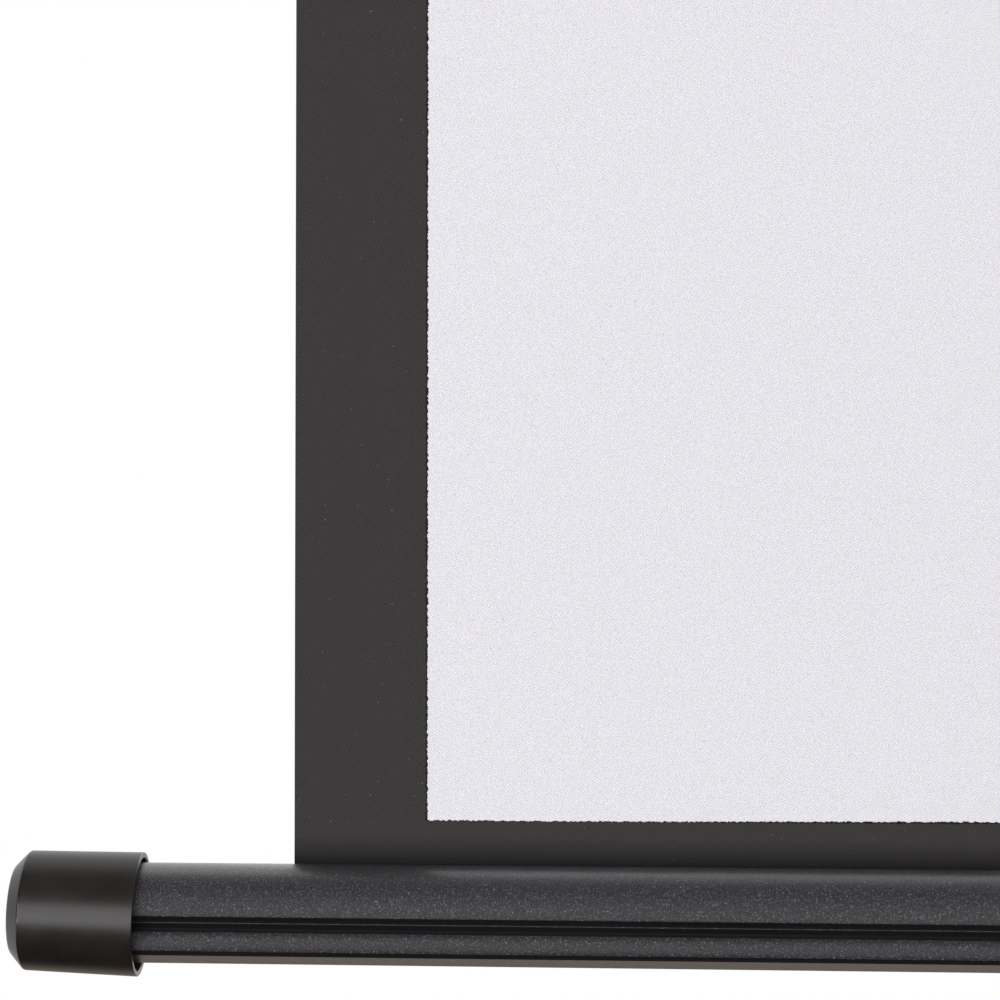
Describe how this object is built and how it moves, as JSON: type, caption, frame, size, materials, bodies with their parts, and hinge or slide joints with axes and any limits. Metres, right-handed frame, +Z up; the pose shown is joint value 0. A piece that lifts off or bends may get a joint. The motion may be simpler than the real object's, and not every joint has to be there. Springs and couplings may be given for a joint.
{
  "type": "portable projector screen",
  "caption": "Pull-down projector screen on a folding tripod: roller case on a telescopic mast, black-bordered white fabric and a moulded weight bar with round end caps.",
  "frame": {"origin": "on the floor under the middle of the footprint and of the screen's width", "axes": "+X along the screen to the viewer's right, +Y away from the viewer, +Z up"},
  "size_m": [1.406, 0.679, 1.8993],
  "materials": {
    "bar_powder_coat": "charcoal sandy powder coat",
    "case_enamel": "black stove enamel",
    "black_plastic": "satin moulded",
    "black_fabric": "fine twill, black print",
    "white_coating": "matte white, fine twill",
    "black_tube": "semi-gloss black powder coat",
    "zinc_steel": "bright zinc plate",
    "spring_steel": "oil-tempered wire",
    "roller_steel": "galvanised",
    "rubber": "matte"
  },
  "bodies": {
    "stand": {"outer_tube": "black_tube", "tube_foot_plug": "black_plastic", "mast_bush": "black_plastic", "mast_clamp": "black_plastic", "leg_hub": "black_plastic", "hub_pin_1": "zinc_steel", "hub_pin_2": "zinc_steel", "hub_pin_3": "zinc_steel"},
    "collar": {"brace_collar": "black_plastic"},
    "collar_knob": {"collar_knob": "black_plastic"},
    "clamp_knob": {"clamp_knob": "black_plastic"},
    "mast": {"inner_tube": "zinc_steel", "inner_tube_glide": "black_plastic", "mast_head": "black_plastic"},
    "case": {"case_shell": "case_enamel", "case_cap_left": "black_plastic", "case_cap_right": "black_plastic", "idle_pin": "zinc_steel", "spring_spindle": "zinc_steel", "torsion_spring": "spring_steel", "spring_anchor": "black_plastic", "ratchet_wheel": "zinc_steel", "swivel_plate": "zinc_steel", "swivel_nut": "zinc_steel", "handle_lug_left": "black_plastic", "handle_lug_right": "black_plastic", "screen_backing": "black_fabric", "projection_face": "white_coating"},
    "carry_handle": {"carry_handle": "black_tube", "handle_grip": "rubber"},
    "roller": {"roller_tube": "roller_steel", "fabric_wraps": "black_fabric", "roller_plug_left": "black_plastic", "roller_plug_right": "black_plastic"},
    "pawl": {"ratchet_pawl": "spring_steel"},
    "weight_bar": {"weight_bar": "bar_powder_coat", "hem_strip": "black_fabric", "hem_rod": "zinc_steel", "bar_cap_left": "black_plastic", "bar_cap_right": "black_plastic", "pull_bracket": "black_plastic"},
    "pull_handle": {"pull_handle": "zinc_steel"},
    "leg_1": {"leg_tube_1": "black_tube", "leg_bracket_1": "zinc_steel", "leg_foot_1": "rubber", "brace_pin_1": "zinc_steel"},
    "brace_1": {"brace_1": "zinc_steel"},
    "leg_2": {"leg_tube_2": "black_tube", "leg_bracket_2": "zinc_steel", "leg_foot_2": "rubber", "brace_pin_2": "zinc_steel"},
    "brace_2": {"brace_2": "zinc_steel"},
    "leg_3": {"leg_tube_3": "black_tube", "leg_bracket_3": "zinc_steel", "leg_foot_3": "rubber", "brace_pin_3": "zinc_steel"},
    "brace_3": {"brace_3": "zinc_steel"}
  },
  "joints": [
    {"name": "mast_slide", "type": "slide", "parent": "stand", "child": "mast", "axis": [0, 0, 1], "range_m": [-0.38, 0]},
    {"name": "case_swivel", "type": "hinge", "parent": "mast", "child": "case", "pos_m": [0, -0.17089, 1.8543], "axis": [0, 1, 0], "range_deg": [0, 90]},
    {"name": "bar_slide", "type": "slide", "parent": "case", "child": "weight_bar", "axis": [0, 0, 1], "range_m": [0, 0.9785], "deforming": ["screen_backing", "projection_face"]},
    {"name": "roller_spin", "type": "hinge", "parent": "case", "child": "roller", "pos_m": [0, -0.17089, 1.8543], "axis": [-1, 0, 0], "range_deg": [0, 3420]},
    {"name": "pawl_pivot", "type": "hinge", "parent": "roller", "child": "pawl", "pos_m": [0.626, -0.16489, 1.8626], "axis": [1, 0, 0], "range_deg": [-5, 10]},
    {"name": "carry_handle_lift", "type": "hinge", "parent": "case", "child": "carry_handle", "pos_m": [0, -0.15689, 1.8923], "axis": [-1, 0, 0], "range_deg": [0, 95]},
    {"name": "pull_handle_swing", "type": "hinge", "parent": "weight_bar", "child": "pull_handle", "pos_m": [0, -0.18939, 0.8122], "axis": [1, 0, 0], "range_deg": [-80, 80]},
    {"name": "clamp_knob_turn", "type": "hinge", "parent": "stand", "child": "clamp_knob", "pos_m": [0, -0.08039, 1.3923], "axis": [0, 1, 0], "continuous": true},
    {"name": "collar_knob_turn", "type": "hinge", "parent": "collar", "child": "collar_knob", "pos_m": [0, -0.13139, 0.23004], "axis": [0, 1, 0], "continuous": true},
    {"name": "leg_1_fold", "type": "hinge", "parent": "stand", "child": "leg_1", "pos_m": [0, -0.07289, 0.45986], "axis": [-1, 0, 0], "range_deg": [0, 40]},
    {"name": "brace_1_fold", "type": "hinge", "parent": "leg_1", "child": "brace_1", "pos_m": [0, 0.02353, 0.34495], "axis": [-1, 0, 0], "range_deg": [-80, 0]},
    {"name": "leg_2_fold", "type": "hinge", "parent": "stand", "child": "leg_2", "pos_m": [-0.03118, -0.12689, 0.45986], "axis": [0.5, -0.866, 0], "range_deg": [0, 40]},
    {"name": "brace_2_fold", "type": "hinge", "parent": "leg_2", "child": "brace_2", "pos_m": [-0.11468, -0.17509, 0.34495], "axis": [0.5, -0.866, 0], "range_deg": [-80, 0]},
    {"name": "leg_3_fold", "type": "hinge", "parent": "stand", "child": "leg_3", "pos_m": [0.03118, -0.12689, 0.45986], "axis": [0.5, 0.866, 0], "range_deg": [0, 40]},
    {"name": "brace_3_fold", "type": "hinge", "parent": "leg_3", "child": "brace_3", "pos_m": [0.11468, -0.17509, 0.34495], "axis": [0.5, 0.866, 0], "range_deg": [-80, 0]},
    {"name": "collar_slide", "type": "slide", "parent": "stand", "child": "collar", "axis": [0, 0, 1], "range_m": [-0.0703, 0]}
  ],
  "couplings": [
    {"joint": "roller_spin", "follows": "bar_slide", "rad_per_m": 61.002},
    {"joint": "brace_1_fold", "follows": "leg_1_fold", "ratio": -2},
    {"joint": "leg_2_fold", "follows": "leg_1_fold", "ratio": 1},
    {"joint": "brace_2_fold", "follows": "leg_1_fold", "ratio": -2},
    {"joint": "leg_3_fold", "follows": "leg_1_fold", "ratio": 1},
    {"joint": "brace_3_fold", "follows": "leg_1_fold", "ratio": -2},
    {"joint": "collar_slide", "follows": "leg_1_fold", "m_per_rad": -0.10053}
  ]
}
